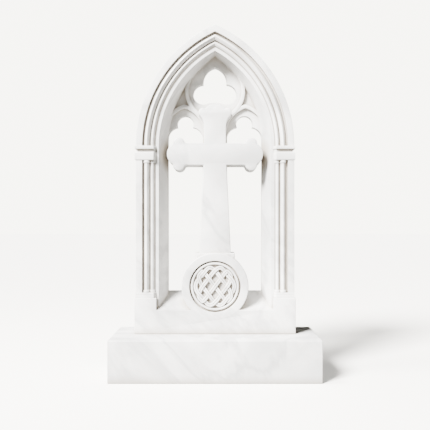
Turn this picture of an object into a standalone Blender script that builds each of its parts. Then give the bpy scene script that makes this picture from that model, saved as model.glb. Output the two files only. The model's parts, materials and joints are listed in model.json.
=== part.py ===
# Cross headstone: a pointed, moulded marble frame with tracery, a cross and a knotwork
# roundel, carved in one stone, standing on a plain base block.
# Metres, +Z up. The front faces -Y and the origin is under the middle of the base.

import bmesh
import bpy
from math import acos, asin, atan2, cos, hypot, pi, sin, sqrt
from mathutils import Matrix, Vector

for old in list(bpy.data.objects):
    bpy.data.objects.remove(old, do_unlink=True)

# Base block
BASE_WIDTH = 0.762
BASE_DEPTH = 0.305
BASE_HEIGHT = 0.1524
BASE_ARRIS = 0.004
BED_JOINT = 0.0003  # clearance between the base and the stone that stands on it

# The headstone's block and its plinth
STONE_WIDTH = 0.605
STONE_DEPTH = 0.135
FRONT_MARGIN = 0.135  # bare top of the base in front of the stone
PIER_WIDTH = 0.0825  # plinth block under each jamb
PIER_HEIGHT = 0.1343
SILL_HEIGHT = 0.0898  # front edge of the sill, above the bed
SILL_RISE = 0.0605  # what the sill gains from front to back
PLINTH_ARRIS = 0.003

# Jambs and arch: depths are measured back from the plinth's face
FRAME_INSET = 0.0045
SPRING_HEIGHT = 0.7063
ARCH_RADIUS = 0.499
OUTER_FILLET = 0.0235
GROOVE_WIDTH = 0.007
ROLL_RADIUS = 0.01025
ROLL_GAP = 0.0005
ROLL_PROUD = 0.009  # how far a roll stands clear of its bed, past its own middle
FIRST_BED_DEPTH = 0.024
SECOND_BED_DEPTH = 0.039
INNER_FILLET = 0.0131
REVEAL_SPLAY = 0.0290
REVEAL_BACK_RADIUS = 0.4453  # the splay dies out towards the arch's point
TRACERY_DEPTH = 0.100  # face of the pierced plate

# Capitals and jamb bases
MOULD_PROJECTION = 0.0035
ABACUS_HEIGHT = 0.012
NECK_HEIGHT = 0.011
BELL_HEIGHT = 0.031
RING_HEIGHT = 0.009
RING_PROJECTION = 0.0022
RING_ROUNDING = 0.0018
FOOT_SLAB_HEIGHT = 0.011
FOOT_COVE_HEIGHT = 0.009
FOOT_PROJECTION = 0.0012
HOLLOW_PROJECTION = 0.0006  # of the neck and the foot cove, which lie between two mouldings
MOULD_ROUNDING = 0.002
BELL_ROUNDING = 0.004

# Tracery
BAR_DEPTH = 0.086  # face of the raised bars
BAR_WIDTH = 0.014
BAR_STEP = 0.0015  # the lights' bars lie this much behind the circle's
CIRCLE_HEIGHT = 0.9307
CIRCLE_RADIUS = 0.103
CIRCLE_END_ANGLE = 0.80  # the bar ends this far from the top, inside the arch
CIRCLE_TAPER_ANGLE = 1.05  # and narrows from here on
LIGHT_CENTRE = 0.1150
LOBE_OFFSET = 0.0235
LOBE_RADIUS = 0.0440
LOBE_HEIGHT = 0.7473
TOP_LOBE_RADIUS = 0.0318
TOP_LOBE_RISE = 0.0560
SUBARCH_CENTRE = 0.1190
SUBARCH_HALF_SPAN = 0.0760
SUBARCH_RADIUS = 0.110
SUBARCH_SPRING = 0.7593
TREFOIL_LOBE_OFFSET = 0.0450
TREFOIL_LOBE_RADIUS = 0.0395
TREFOIL_DROP = 0.0117  # side lobes' middle below the circle's
TREFOIL_POINT_RADIUS = 0.060
TREFOIL_POINT_RISE = 0.0365  # springing of the pointed lobe above the circle's middle
TREFOIL_SILL_RISE = 0.008

# Cross
CROSS_FACE_DEPTH = 0.020
CROSS_THICKNESS = 0.096
CROSS_ARRIS = 0.004
ARM_HEIGHT = 0.6773  # middle of the arms above the bed
ARM_HALF_HEIGHT = 0.0420
ARM_REACH = 0.1821
ARM_TIP_RADIUS = 0.0447
ARM_EAR_OFFSET = 0.0400
ARM_EAR_RADIUS = 0.0227
ARM_FILLET = 0.009
HEAD_REACH = 0.1902
HEAD_TIP_RADIUS = 0.0473
HEAD_EAR_BACK = 0.0322  # ear's middle, back from the tip
HEAD_EAR_OFFSET = 0.0455
HEAD_EAR_RADIUS = 0.017
HEAD_FILLET = 0.060
NECK_HALF_WIDTH = 0.0423
SHAFT_TOP_HALF_WIDTH = 0.0442
SHAFT_FOOT_HALF_WIDTH = 0.0600
STEP_HALF_WIDTH = 0.0747
STEP_LIFT = 0.0005  # the step's top, below the roundel's crown

# Roundel and knot
ROUNDEL_HEIGHT = 0.1775
ROUNDEL_RADIUS = 0.126
ROUNDEL_THICKNESS = 0.078
ROUNDEL_RIM = 0.0304
ROUNDEL_ARRIS = 0.003
RECESS_DEPTH = 0.015
ROUNDEL_PROUD = 0.0003  # in front of the plinth's face
BORDER_CLEARANCE = 0.005  # between the recess wall and the border ring
BORDER_WIDTH = 0.008
BORDER_HEIGHT = 0.006
BAND_WIDTH = 0.0120
BAND_CLEARANCE = 0.0015  # between the border ring and the outermost band
BAND_OVER = 0.0091  # top of a band above the recess floor, passing over
BAND_UNDER = 0.0041  # and passing under
BAND_STEP = 0.0004  # a passing-over stretch stands this much above the one it grows from
BAND_CROWN = 0.0024  # rise from a band's edges to its middle
BRIDGE_REACH = 0.62  # half of a passing-over stretch, in spacings of the lattice
RUN_START = 0.45  # where a passing-under stretch starts, past the middle of a bridge
BEND_SPAN = 0.25  # over which a bend is measured
NEARLY_STRAIGHT = 0.001
KNOT_COLUMNS = 4
KNOT_ROWS = 3
KNOT_TURN = 0.85  # 0 gives wavy bands, 1 straight ones with sharp turns
TIGHT_BEND = 0.7  # share of a bend's own radius that the band fills on its inside

# Fineness of the faceted curves
ARCH_STEPS = 11
LOBE_STEPS = 7
TREFOIL_STEPS = 14
BAR_STEPS = 28
SUBARCH_STEPS = 9
SHAFT_RING_SIDES = 10
FILLET_STEPS = 3
TIP_STEPS = 5
BRIDGE_STEPS = 4
ROUNDEL_STEPS = 48
SHARP_ANGLE = 0.6
EMBED = 0.004  # overlap where one carved form runs into another

# Places that follow from the sizes
BED = BASE_HEIGHT + BED_JOINT
FACE_Y = FRONT_MARGIN - BASE_DEPTH / 2
SPRING_Z = BED + SPRING_HEIGHT
OUTER_HALF = STONE_WIDTH / 2 - FRAME_INSET
ARCH_OFFSET = ARCH_RADIUS - OUTER_HALF
FIRST_BED_HALF = OUTER_HALF - OUTER_FILLET
FIRST_ROLL_HALF = FIRST_BED_HALF - GROOVE_WIDTH - ROLL_RADIUS
SECOND_ROLL_HALF = FIRST_ROLL_HALF - 2 * ROLL_RADIUS - ROLL_GAP
SECOND_BED_HALF = (FIRST_ROLL_HALF + SECOND_ROLL_HALF) / 2
REVEAL_FRONT_HALF = SECOND_ROLL_HALF - ROLL_RADIUS - INNER_FILLET
REVEAL_BACK_HALF = REVEAL_FRONT_HALF - REVEAL_SPLAY
FRAME_FOOT_Z = BED + EMBED
PIER_TOP_Z = BED + PIER_HEIGHT
CIRCLE_Z = BED + CIRCLE_HEIGHT
ARM_Z = BED + ARM_HEIGHT
ROUNDEL_Z = BED + ROUNDEL_HEIGHT
CUT = 0.010  # how far a cutter runs past the faces it cuts


# Collections and materials
part_collection = bpy.data.collections.new("cross_headstone")
shape_collection = bpy.data.collections.new("construction_shapes")
for collection in (part_collection, shape_collection):
    bpy.context.scene.collection.children.link(collection)

def marble(name, colour, roughness):
    material = bpy.data.materials.new(name)
    material.use_nodes = True
    shader = material.node_tree.nodes["Principled BSDF"]
    shader.inputs["Base Color"].default_value = (*colour, 1.0)
    shader.inputs["Roughness"].default_value = roughness
    shader.inputs["Metallic"].default_value = 0.0
    return material


base_marble = marble("honed marble base", (0.80, 0.79, 0.77), 0.50)
carved_marble = marble("carved marble", (0.85, 0.84, 0.82), 0.45)


# Turns an outline's own axes to the way that it faces
FACINGS = {
    "front": Matrix(((1, 0, 0), (0, 0, -1), (0, 1, 0))).to_4x4(),
    "plan": Matrix.Identity(4),
    "side": Matrix(((0, 0, 1), (1, 0, 0), (0, 1, 0))).to_4x4(),
}


def new_shape(name, mesh, matrix, collection=shape_collection):
    shape = bpy.data.objects.new(name, mesh)
    shape.matrix_world = matrix
    collection.objects.link(shape)
    if collection is shape_collection:
        shape.hide_render = True
        shape.display_type = "WIRE"
    return shape


def weld(mesh):
    solid = bmesh.new()
    solid.from_mesh(mesh)
    bmesh.ops.remove_doubles(solid, verts=solid.verts, dist=1e-6)
    bmesh.ops.recalc_face_normals(solid, faces=solid.faces)
    solid.to_mesh(mesh)
    solid.free()
    mesh.shade_smooth()
    mesh.set_sharp_from_angle(angle=SHARP_ANGLE)


# A closed mesh from a curve object, which is removed
def mesh_from_curve(name, curve_object):
    bpy.context.view_layer.update()
    graph = bpy.context.evaluated_depsgraph_get()
    mesh = bpy.data.meshes.new_from_object(curve_object.evaluated_get(graph))
    mesh.name = name
    weld(mesh)
    shape = new_shape(name, mesh, curve_object.matrix_world.copy())
    curve = curve_object.data
    bpy.data.objects.remove(curve_object, do_unlink=True)
    bpy.data.curves.remove(curve)
    return shape


def add_spline(curve, points, closed):
    spline = curve.splines.new("POLY")
    spline.points.add(len(points) - 1)
    for spline_point, point in zip(spline.points, points):
        coordinates = tuple(point) + (0.0,) * (3 - len(point))
        spline_point.co = (*coordinates, 1.0)
    spline.use_cyclic_u = closed


# A flat outline, with its holes, made solid between two places on its facing axis
def slab(name, outlines, start, end, facing="front", rounding=0.0, segments=0):
    curve = bpy.data.curves.new(name, "CURVE")
    curve.dimensions = "2D"
    curve.fill_mode = "BOTH"
    curve.extrude = (end - start) / 2 - rounding
    curve.bevel_depth = rounding
    curve.bevel_resolution = segments
    curve.offset = -rounding
    for outline in outlines:
        add_spline(curve, outline, True)
    curve_object = bpy.data.objects.new(name, curve)
    shape_collection.objects.link(curve_object)
    middle = (start + end) / 2
    centre = {
        "front": Vector((0, FACE_Y + middle, 0)),
        "plan": Vector((0, 0, middle)),
        "side": Vector((middle, 0, 0)),
    }[facing]
    curve_object.matrix_world = Matrix.Translation(centre) @ FACINGS[facing]
    return mesh_from_curve(name, curve_object)


# A round roll along a path in space
def roll(name, path, radius, resolution):
    curve = bpy.data.curves.new(name, "CURVE")
    curve.dimensions = "3D"
    curve.bevel_depth = radius
    curve.bevel_resolution = resolution
    curve.use_fill_caps = True
    add_spline(curve, path, False)
    curve_object = bpy.data.objects.new(name, curve)
    shape_collection.objects.link(curve_object)
    return mesh_from_curve(name, curve_object)


# Skins closed sections with the same number of points, and closes both ends
def loft(name, bodies):
    solid = bmesh.new()
    for sections in bodies:
        rings = [[solid.verts.new(point) for point in section] for section in sections]
        for ring, following in zip(rings, rings[1:]):
            count = len(ring)
            for index in range(count):
                after = (index + 1) % count
                solid.faces.new((ring[index], ring[after], following[after], following[index]))
        solid.faces.new(rings[0])
        solid.faces.new(rings[-1])
    bmesh.ops.recalc_face_normals(solid, faces=solid.faces)
    mesh = bpy.data.meshes.new(name)
    solid.to_mesh(mesh)
    solid.free()
    mesh.shade_smooth()
    mesh.set_sharp_from_angle(angle=SHARP_ANGLE)
    return new_shape(name, mesh, Matrix.Identity(4))


def mirror_across(shape, bisect):
    mirror = shape.modifiers.new("other side", "MIRROR")
    mirror.use_axis = (True, False, False)
    mirror.use_bisect_axis = (bisect, False, False)
    mirror.use_bisect_flip_axis = (bisect, False, False)
    mirror.merge_threshold = 0.00002
    return shape


# The shaft rings, and what is joined after them, lie too near the rolls' own facets for
# the exact solver, and take the manifold one
def boolean(target, operand, operation, solver="EXACT"):
    step = target.modifiers.new(operand.name, "BOOLEAN")
    step.operation = operation
    step.solver = solver
    step.object = operand


def arc(centre_x, centre_z, radius, start, end, steps):
    angles = [start + (end - start) * step / steps for step in range(steps + 1)]
    return [(centre_x + radius * cos(a), centre_z + radius * sin(a)) for a in angles]


# Where two circles cross, on the left of the way from the first to the second
def circles_meet(first, first_radius, second, second_radius):
    across, up = second[0] - first[0], second[1] - first[1]
    distance = hypot(across, up)
    along = (first_radius**2 - second_radius**2 + distance**2) / (2 * distance)
    aside = sqrt(first_radius**2 - along**2)
    unit_x, unit_z = across / distance, up / distance
    return (
        first[0] + along * unit_x - aside * unit_z,
        first[1] + along * unit_z + aside * unit_x,
    )


def angle_from(centre, point):
    return atan2(point[1] - centre[1], point[0] - centre[0])


# A two-centred arch on straight legs, from the left foot round to the right one
def pointed_arch(centre, half_span, radius, spring, foot, steps):
    offset = radius - half_span
    apex = acos(offset / radius)
    left = arc(centre + offset, spring, radius, pi, pi - apex, steps)
    right = [(2 * centre - x, z) for x, z in reversed(left[:-1])]
    feet_left = [(centre - half_span, foot)]
    feet_right = [(centre + half_span, foot)]
    return feet_left + left + right + feet_right


def frame_line(half_width, foot):
    radius = half_width + ARCH_OFFSET
    return pointed_arch(0.0, half_width, radius, SPRING_Z, foot, ARCH_STEPS)


# The reveal's outline at a depth, between its front line and its narrower back line
def reveal_section(depth, foot):
    front = frame_line(REVEAL_FRONT_HALF, foot)
    back = pointed_arch(
        0.0, REVEAL_BACK_HALF, REVEAL_BACK_RADIUS, SPRING_Z, foot, ARCH_STEPS
    )
    share = (depth - SECOND_BED_DEPTH) / (TRACERY_DEPTH - SECOND_BED_DEPTH)
    section = []
    for (front_x, front_z), (back_x, back_z) in zip(front, back):
        x = front_x + share * (back_x - front_x)
        z = front_z + share * (back_z - front_z)
        section.append((x, FACE_Y + depth, z))
    return section


# Moulded frame: one block, with its orders and its splayed reveal cut back in steps
def build_frame():
    outline = frame_line(OUTER_HALF, FRAME_FOOT_Z)
    frame = slab("frame", [outline], FRAME_INSET, STONE_DEPTH - FRAME_INSET)
    frame.name = "headstone"
    frame.data.name = "headstone"
    cut_foot = FRAME_FOOT_Z - CUT
    first = slab("first bed", [frame_line(FIRST_BED_HALF, cut_foot)], -CUT, FIRST_BED_DEPTH)
    second = slab("second bed", [frame_line(SECOND_BED_HALF, cut_foot)], -CUT, SECOND_BED_DEPTH)
    boolean(frame, first, "DIFFERENCE")
    boolean(frame, second, "DIFFERENCE")

    sections = [
        reveal_section(depth, cut_foot) for depth in (SECOND_BED_DEPTH - EMBED, TRACERY_DEPTH)
    ]
    boolean(frame, loft("splayed reveal", [sections]), "DIFFERENCE")
    return frame


# The two lights under trefoil heads, left and right of the mullion
def light_outline():
    half_width = LOBE_OFFSET + LOBE_RADIUS
    lobe = (-LOBE_OFFSET, BED + LOBE_HEIGHT)
    top = (0.0, lobe[1] + TOP_LOBE_RISE)
    cusp = circles_meet(lobe, LOBE_RADIUS, top, TOP_LOBE_RADIUS)
    left = [(-half_width, FRAME_FOOT_Z - CUT)]
    left += arc(*lobe, LOBE_RADIUS, pi, angle_from(lobe, cusp), LOBE_STEPS)
    cusp_angle = angle_from(top, cusp) % (2 * pi)
    left += arc(*top, TOP_LOBE_RADIUS, cusp_angle, pi / 2, LOBE_STEPS)[1:]
    right = [(-x, z) for x, z in reversed(left[:-1])]
    return [(x - LIGHT_CENTRE, z) for x, z in left + right]


# The pointed trefoil in the head
def trefoil_outline():
    lobe = (-TREFOIL_LOBE_OFFSET, CIRCLE_Z - TREFOIL_DROP)
    spring = CIRCLE_Z + TREFOIL_POINT_RISE
    cusp = lobe[1] + TREFOIL_LOBE_RADIUS
    point = pointed_arch(
        0.0, TREFOIL_LOBE_OFFSET, TREFOIL_POINT_RADIUS, spring, cusp, LOBE_STEPS
    )
    left_point = point[: len(point) // 2 + 1]
    left = [(0.0, lobe[1] - TREFOIL_LOBE_RADIUS + TREFOIL_SILL_RISE)]
    left += arc(*lobe, TREFOIL_LOBE_RADIUS, -pi / 3, -3 * pi / 2, TREFOIL_STEPS)
    left += left_point[1:]
    right = [(-x, z) for x, z in reversed(left[1:-1])]
    return left + right


# The ring round the trefoil: it dies into the reveal below the arch's point
def circle_bar_outline():
    first = pi / 2 - CIRCLE_END_ANGLE
    last = first + 2 * CIRCLE_END_ANGLE - 2 * pi
    outer = arc(0.0, CIRCLE_Z, CIRCLE_RADIUS + BAR_WIDTH, first, last, BAR_STEPS)
    inner = []
    for step in range(BAR_STEPS + 1):
        angle = first + (last - first) * step / BAR_STEPS
        from_top = min(pi / 2 - angle, angle - last + CIRCLE_END_ANGLE)
        share = (CIRCLE_TAPER_ANGLE - from_top) / (CIRCLE_TAPER_ANGLE - CIRCLE_END_ANGLE)
        radius = CIRCLE_RADIUS + BAR_WIDTH / 2 * max(share, 0.0)
        inner.append((radius * cos(angle), CIRCLE_Z + radius * sin(angle)))
    return outer + inner[::-1]


def build_tracery(frame):
    past_back = STONE_DEPTH + CUT
    light = slab("light", [light_outline()], TRACERY_DEPTH - CUT, past_back)
    boolean(frame, mirror_across(light, False), "DIFFERENCE")
    trefoil = slab("trefoil", [trefoil_outline()], TRACERY_DEPTH - CUT, past_back)
    boolean(frame, trefoil, "DIFFERENCE")

    back = TRACERY_DEPTH + EMBED
    boolean(frame, slab("circle bar", [circle_bar_outline()], BAR_DEPTH, back), "UNION")

    spring = BED + SUBARCH_SPRING
    foot = ARM_Z
    inner = pointed_arch(
        -SUBARCH_CENTRE, SUBARCH_HALF_SPAN, SUBARCH_RADIUS, spring, foot, SUBARCH_STEPS
    )
    outer = pointed_arch(
        -SUBARCH_CENTRE,
        SUBARCH_HALF_SPAN + BAR_WIDTH,
        SUBARCH_RADIUS + BAR_WIDTH,
        spring,
        foot,
        SUBARCH_STEPS,
    )
    bar = slab("light bar", [outer + inner[::-1]], BAR_DEPTH + BAR_STEP, back + BAR_STEP)
    boolean(frame, mirror_across(bar, False), "UNION")


# Rolls on the arch, shafts on the jambs: one line from the jamb's foot to the point
def build_rolls(frame):
    foot = PIER_TOP_Z - EMBED
    lines = (
        ("first roll", FIRST_ROLL_HALF, FIRST_BED_DEPTH),
        ("second roll", SECOND_ROLL_HALF, SECOND_BED_DEPTH),
    )
    for name, half, bed_depth in lines:
        depth = FACE_Y + bed_depth - ROLL_PROUD
        radius = half + ARCH_OFFSET
        past_point = acos(ARCH_OFFSET / radius) + ROLL_RADIUS * 2 / radius
        bend = arc(ARCH_OFFSET, SPRING_Z, radius, pi, pi - past_point, ARCH_STEPS)
        path = [(-half, depth, foot)] + [(x, depth, z) for x, z in bend]
        line = roll(name, path, ROLL_RADIUS, 2)
        boolean(frame, mirror_across(line, True), "UNION")


# Plan of a capital or a jamb base: round the fillet and both shafts, canted inwards
def jamb_plan(projection):
    outer = -(OUTER_HALF + projection)
    front = FACE_Y + FRAME_INSET - projection
    cant_start = -(SECOND_ROLL_HALF - ROLL_RADIUS / 2)
    cant_end = -(REVEAL_FRONT_HALF + FRAME_INSET / 2)
    cant_back = FACE_Y + SECOND_BED_DEPTH + EMBED
    back = FACE_Y + STONE_DEPTH - FRAME_INSET + projection
    return [
        (outer, back),
        (outer, front),
        (cant_start, front),
        (cant_end, cant_back),
        (cant_end, back),
    ]


def build_capitals_and_bases(frame):
    overlap = MOULD_ROUNDING / 2
    neck_top = SPRING_Z - ABACUS_HEIGHT
    neck_foot = neck_top - NECK_HEIGHT
    bell_foot = neck_foot - BELL_HEIGHT
    slab_top = PIER_TOP_Z + FOOT_SLAB_HEIGHT
    cove_top = slab_top + FOOT_COVE_HEIGHT
    tiers = (
        ("abacus", neck_top, SPRING_Z, MOULD_PROJECTION, MOULD_ROUNDING),
        ("neck", neck_foot - overlap, neck_top + overlap, HOLLOW_PROJECTION, 0.0),
        ("bell", bell_foot, neck_foot, MOULD_PROJECTION, BELL_ROUNDING),
        ("foot slab", PIER_TOP_Z - EMBED, slab_top, FOOT_PROJECTION, MOULD_ROUNDING),
        ("foot cove", slab_top - overlap, cove_top, HOLLOW_PROJECTION, MOULD_ROUNDING),
    )
    for name, low, high, projection, rounding in tiers:
        tier = slab(name, [jamb_plan(projection)], low, high, "plan", rounding)
        boolean(frame, mirror_across(tier, False), "UNION")

    shafts = ((FIRST_ROLL_HALF, FIRST_BED_DEPTH), (SECOND_ROLL_HALF, SECOND_BED_DEPTH))
    for name, low in (("upper ring", bell_foot - RING_HEIGHT), ("lower ring", cove_top)):
        low_end = low - overlap
        high_end = low + RING_HEIGHT + overlap
        for half, bed_depth in shafts:
            depth = FACE_Y + bed_depth - ROLL_PROUD
            tube = ROLL_RADIUS + RING_PROJECTION
            circle = arc(-half, depth, tube, 0, 2 * pi, SHAFT_RING_SIDES)[:-1]
            ring = slab(name, [circle], low_end, high_end, "plan", RING_ROUNDING)
            boolean(frame, mirror_across(ring, False), "UNION", "MANIFOLD")


# Plinth: a block under each jamb, and between them the sill with its weathered slope
def build_plinth(frame):
    half = STONE_WIDTH / 2
    inner = half - PIER_WIDTH
    sill = BED + SILL_HEIGHT
    outline = [
        (-half, BED),
        (half, BED),
        (half, PIER_TOP_Z),
        (inner, PIER_TOP_Z),
        (inner, sill),
        (-inner, sill),
        (-inner, PIER_TOP_Z),
        (-half, PIER_TOP_Z),
    ]
    plinth = slab("plinth", [outline], 0.0, STONE_DEPTH, "front", PLINTH_ARRIS)
    boolean(frame, plinth, "UNION", "MANIFOLD")

    lip = 2 * PLINTH_ARRIS
    back = STONE_DEPTH - PLINTH_ARRIS
    drop = SILL_RISE * lip / STONE_DEPTH
    profile = [
        (FACE_Y + lip / 2, sill - EMBED),
        (FACE_Y + back, sill - EMBED),
        (FACE_Y + back, sill + SILL_RISE),
        (FACE_Y + lip / 2, sill - drop),
    ]
    reach = inner + EMBED
    weathering = slab("weathering", [profile], -reach, reach, "side")
    boolean(frame, weathering, "UNION", "MANIFOLD")


# One side of a cross end, as (along, across), from the straight edge out to its tip:
# a small fillet, a round ear, a notch and half of the rounded tip
def end_side(half, reach, tip_radius, ear, ear_radius, fillet):
    tip_centre = (reach - tip_radius, 0.0)
    notch = circles_meet(ear, ear_radius, tip_centre, tip_radius)
    drop = half + fillet - ear[1]
    fillet_centre = (ear[0] - sqrt((ear_radius + fillet) ** 2 - drop**2), half + fillet)
    turn = angle_from(fillet_centre, ear)
    points = arc(*fillet_centre, fillet, -pi / 2, turn, FILLET_STEPS)
    points += arc(*ear, ear_radius, turn + pi, angle_from(ear, notch), LOBE_STEPS)[1:]
    points += arc(*tip_centre, tip_radius, angle_from(tip_centre, notch), 0.0, TIP_STEPS)[1:]
    return points


def cross_outline():
    arm_ear = (ARM_REACH - ARM_TIP_RADIUS, ARM_EAR_OFFSET)
    arm = end_side(
        ARM_HALF_HEIGHT, ARM_REACH, ARM_TIP_RADIUS, arm_ear, ARM_EAR_RADIUS, ARM_FILLET
    )
    head_ear = (HEAD_REACH - HEAD_EAR_BACK, HEAD_EAR_OFFSET)
    head = end_side(
        NECK_HALF_WIDTH, HEAD_REACH, HEAD_TIP_RADIUS, head_ear, HEAD_EAR_RADIUS, HEAD_FILLET
    )
    right = [(SHAFT_FOOT_HALF_WIDTH, ROUNDEL_Z)]
    right += [(SHAFT_FOOT_HALF_WIDTH, ROUNDEL_Z + ROUNDEL_RADIUS)]
    right += [(SHAFT_TOP_HALF_WIDTH, ARM_Z - ARM_HALF_HEIGHT)]
    right += [(along, ARM_Z - across) for along, across in arm]
    right += [(along, ARM_Z + across) for along, across in reversed(arm[:-1])]
    right += [(NECK_HALF_WIDTH, ARM_Z + ARM_HALF_HEIGHT)]
    right += [(across, ARM_Z + along) for along, across in head]
    left = [(-x, z) for x, z in reversed(right[:-1])]
    return right + left


def build_cross(frame):
    back = CROSS_FACE_DEPTH + CROSS_THICKNESS
    cross = slab("cross", [cross_outline()], CROSS_FACE_DEPTH, back, "front", CROSS_ARRIS)
    boolean(frame, cross, "UNION", "MANIFOLD")
    top = ROUNDEL_Z + ROUNDEL_RADIUS - STEP_LIFT
    step = [
        (-STEP_HALF_WIDTH, BED + SILL_HEIGHT - EMBED),
        (STEP_HALF_WIDTH, BED + SILL_HEIGHT - EMBED),
        (STEP_HALF_WIDTH, top),
        (-STEP_HALF_WIDTH, top),
    ]
    step_face = CROSS_FACE_DEPTH - CROSS_ARRIS
    step_back = back + CROSS_ARRIS
    cross_step = slab("cross step", [step], step_face, step_back, "front", CROSS_ARRIS)
    boolean(frame, cross_step, "UNION", "MANIFOLD")


# Room in the plinth for the roundel's sunk field
def cut_roundel_seat(frame):
    radius = ROUNDEL_RADIUS - ROUNDEL_RIM / 2
    circle = arc(0.0, ROUNDEL_Z, radius, 0, 2 * pi, ROUNDEL_STEPS)[:-1]
    seat = slab("roundel seat", [circle], -CUT, RECESS_DEPTH + EMBED)
    boolean(frame, seat, "DIFFERENCE", "MANIFOLD")


# Roundel: a turned disc with a sunk field and a border ring, facing the front
def build_roundel(frame):
    recess = ROUNDEL_RADIUS - ROUNDEL_RIM
    border_outer = recess - BORDER_CLEARANCE
    border_inner = border_outer - BORDER_WIDTH
    floor = -RECESS_DEPTH
    edge = BORDER_WIDTH / 4
    profile = [
        (0.0, floor),
        (border_inner, floor),
        (border_inner, floor + BORDER_HEIGHT - edge),
        (border_inner + edge, floor + BORDER_HEIGHT),
        (border_outer - edge, floor + BORDER_HEIGHT),
        (border_outer, floor + BORDER_HEIGHT - edge),
        (border_outer, floor),
        (recess, floor),
        (recess, -ROUNDEL_ARRIS / 2),
        (recess + ROUNDEL_ARRIS / 2, 0.0),
        (ROUNDEL_RADIUS - ROUNDEL_ARRIS, 0.0),
        (ROUNDEL_RADIUS, -ROUNDEL_ARRIS),
        (ROUNDEL_RADIUS, -ROUNDEL_THICKNESS),
        (0.0, -ROUNDEL_THICKNESS),
    ]
    mesh = bpy.data.meshes.new("roundel")
    edges = [(index, index + 1) for index in range(len(profile) - 1)]
    mesh.from_pydata([(radius, 0.0, height) for radius, height in profile], edges, [])
    place = Matrix.Translation((0.0, FACE_Y - ROUNDEL_PROUD, ROUNDEL_Z)) @ FACINGS["front"]
    roundel = new_shape("roundel", mesh, place)
    turned = roundel.modifiers.new("turned", "SCREW")
    turned.steps = ROUNDEL_STEPS
    turned.render_steps = ROUNDEL_STEPS
    turned.use_merge_vertices = True
    turned.merge_threshold = 0.00001
    boolean(frame, roundel, "UNION", "MANIFOLD")
    return border_inner - BAND_CLEARANCE - BAND_WIDTH / 2


# Places on the endless band. It runs to and fro between the sides of a lattice, and it is
# numbered so that it crosses itself, or turns, at each whole number
def knot_place(number, radius):
    half = number / 2

    def swing(angle):
        return asin(KNOT_TURN * cos(angle)) / asin(KNOT_TURN)

    across = swing(pi * half / KNOT_COLUMNS)
    up = swing(pi * (half - 0.5) / KNOT_ROWS)
    square = across**2 + up**2
    fit = 1.0 if square < 1e-9 else sqrt(1 - (across * up) ** 2 / square)
    return Vector((radius * across * fit, radius * up * fit))


# 1 where the band passes over itself, -1 where it passes under, 0 where it turns
def knot_level(number):
    if number % (2 * KNOT_COLUMNS) == 0 or (number - 1) % (2 * KNOT_ROWS) == 0:
        return 0
    column = number % (4 * KNOT_COLUMNS)
    column = min(column, 4 * KNOT_COLUMNS - column)
    half = number / 2
    rising = sin(pi * half / KNOT_COLUMNS) * sin(pi * (half - 0.5) / KNOT_ROWS) > 0
    return (1 if rising else -1) * (-1) ** column


# Cross-section of the band: upright sides under a low crown, drawn in on the inside of a
# bend that is tighter than the band is wide
def band_section(number, radius, top):
    place = knot_place(number, radius)
    before = place - knot_place(number - BEND_SPAN, radius)
    after = knot_place(number + BEND_SPAN, radius) - place
    ahead = before + after
    side = Vector((-ahead.y, ahead.x)).normalized()
    bend = 2 * before.cross(after) / (before.length * after.length * ahead.length)
    half = BAND_WIDTH / 2
    left = min(half, TIGHT_BEND / max(bend, NEARLY_STRAIGHT))
    right = min(half, TIGHT_BEND / max(-bend, NEARLY_STRAIGHT))
    floor = -RECESS_DEPTH
    profile = (
        (-right, floor - EMBED),
        (-right, floor + top),
        (0.0, floor + top + BAND_CROWN),
        (left, floor + top),
        (left, floor - EMBED),
    )
    section = []
    for across, height in profile:
        point = place + side * across
        section.append((point.x, FACE_Y - height, ROUNDEL_Z + point.y))
    return section


def build_knot(frame, radius):
    count = 4 * KNOT_COLUMNS * KNOT_ROWS
    crests = [number for number in range(count) if knot_level(number) == 1]
    bridges = []
    runs = []
    for crest, following in zip(crests, crests[1:] + [crests[0] + count]):
        sections = []
        for step in range(BRIDGE_STEPS + 1):
            share = 2 * step / BRIDGE_STEPS - 1
            rise = (BAND_OVER - BAND_UNDER) * cos(pi / 2 * share)
            top = BAND_UNDER + BAND_STEP + rise
            number = crest + BRIDGE_REACH * share
            sections.append(band_section(number, radius, top))
        bridges.append(sections)
        first = crest + RUN_START
        last = following - RUN_START
        steps = 2 * (following - crest) - 1
        numbers = [first + (last - first) * step / steps for step in range(steps + 1)]
        runs.append([band_section(number, radius, BAND_UNDER) for number in numbers])
    boolean(frame, loft("band passing under", runs), "UNION", "MANIFOLD")
    boolean(frame, loft("band passing over", bridges), "UNION", "MANIFOLD")


def finish(part, material):
    part.hide_render = False
    part.display_type = "TEXTURED"
    shape_collection.objects.unlink(part)
    part_collection.objects.link(part)
    part.data.materials.clear()
    part.data.materials.append(material)


def build_headstone():
    frame = build_frame()
    build_tracery(frame)
    build_rolls(frame)
    build_capitals_and_bases(frame)
    build_plinth(frame)
    cut_roundel_seat(frame)
    build_cross(frame)
    knot_radius = build_roundel(frame)
    build_knot(frame, knot_radius)
    finish(frame, carved_marble)


def build_base():
    bpy.ops.mesh.primitive_cube_add(size=1.0, location=(0.0, 0.0, BASE_HEIGHT / 2))
    base = bpy.context.active_object
    base.name = "base_block"
    for collection in list(base.users_collection):
        collection.objects.unlink(base)
    part_collection.objects.link(base)
    base.data.transform(Matrix.Diagonal((BASE_WIDTH, BASE_DEPTH, BASE_HEIGHT, 1.0)))
    base.data.materials.append(base_marble)
    arris = base.modifiers.new("arris", "BEVEL")
    arris.width = BASE_ARRIS
    arris.segments = 2


build_base()
build_headstone()
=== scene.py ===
import json
from math import acos, asin, atan2, cos, hypot, pi, sin, sqrt
import bmesh
import bpy
from mathutils import Matrix, Vector

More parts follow.
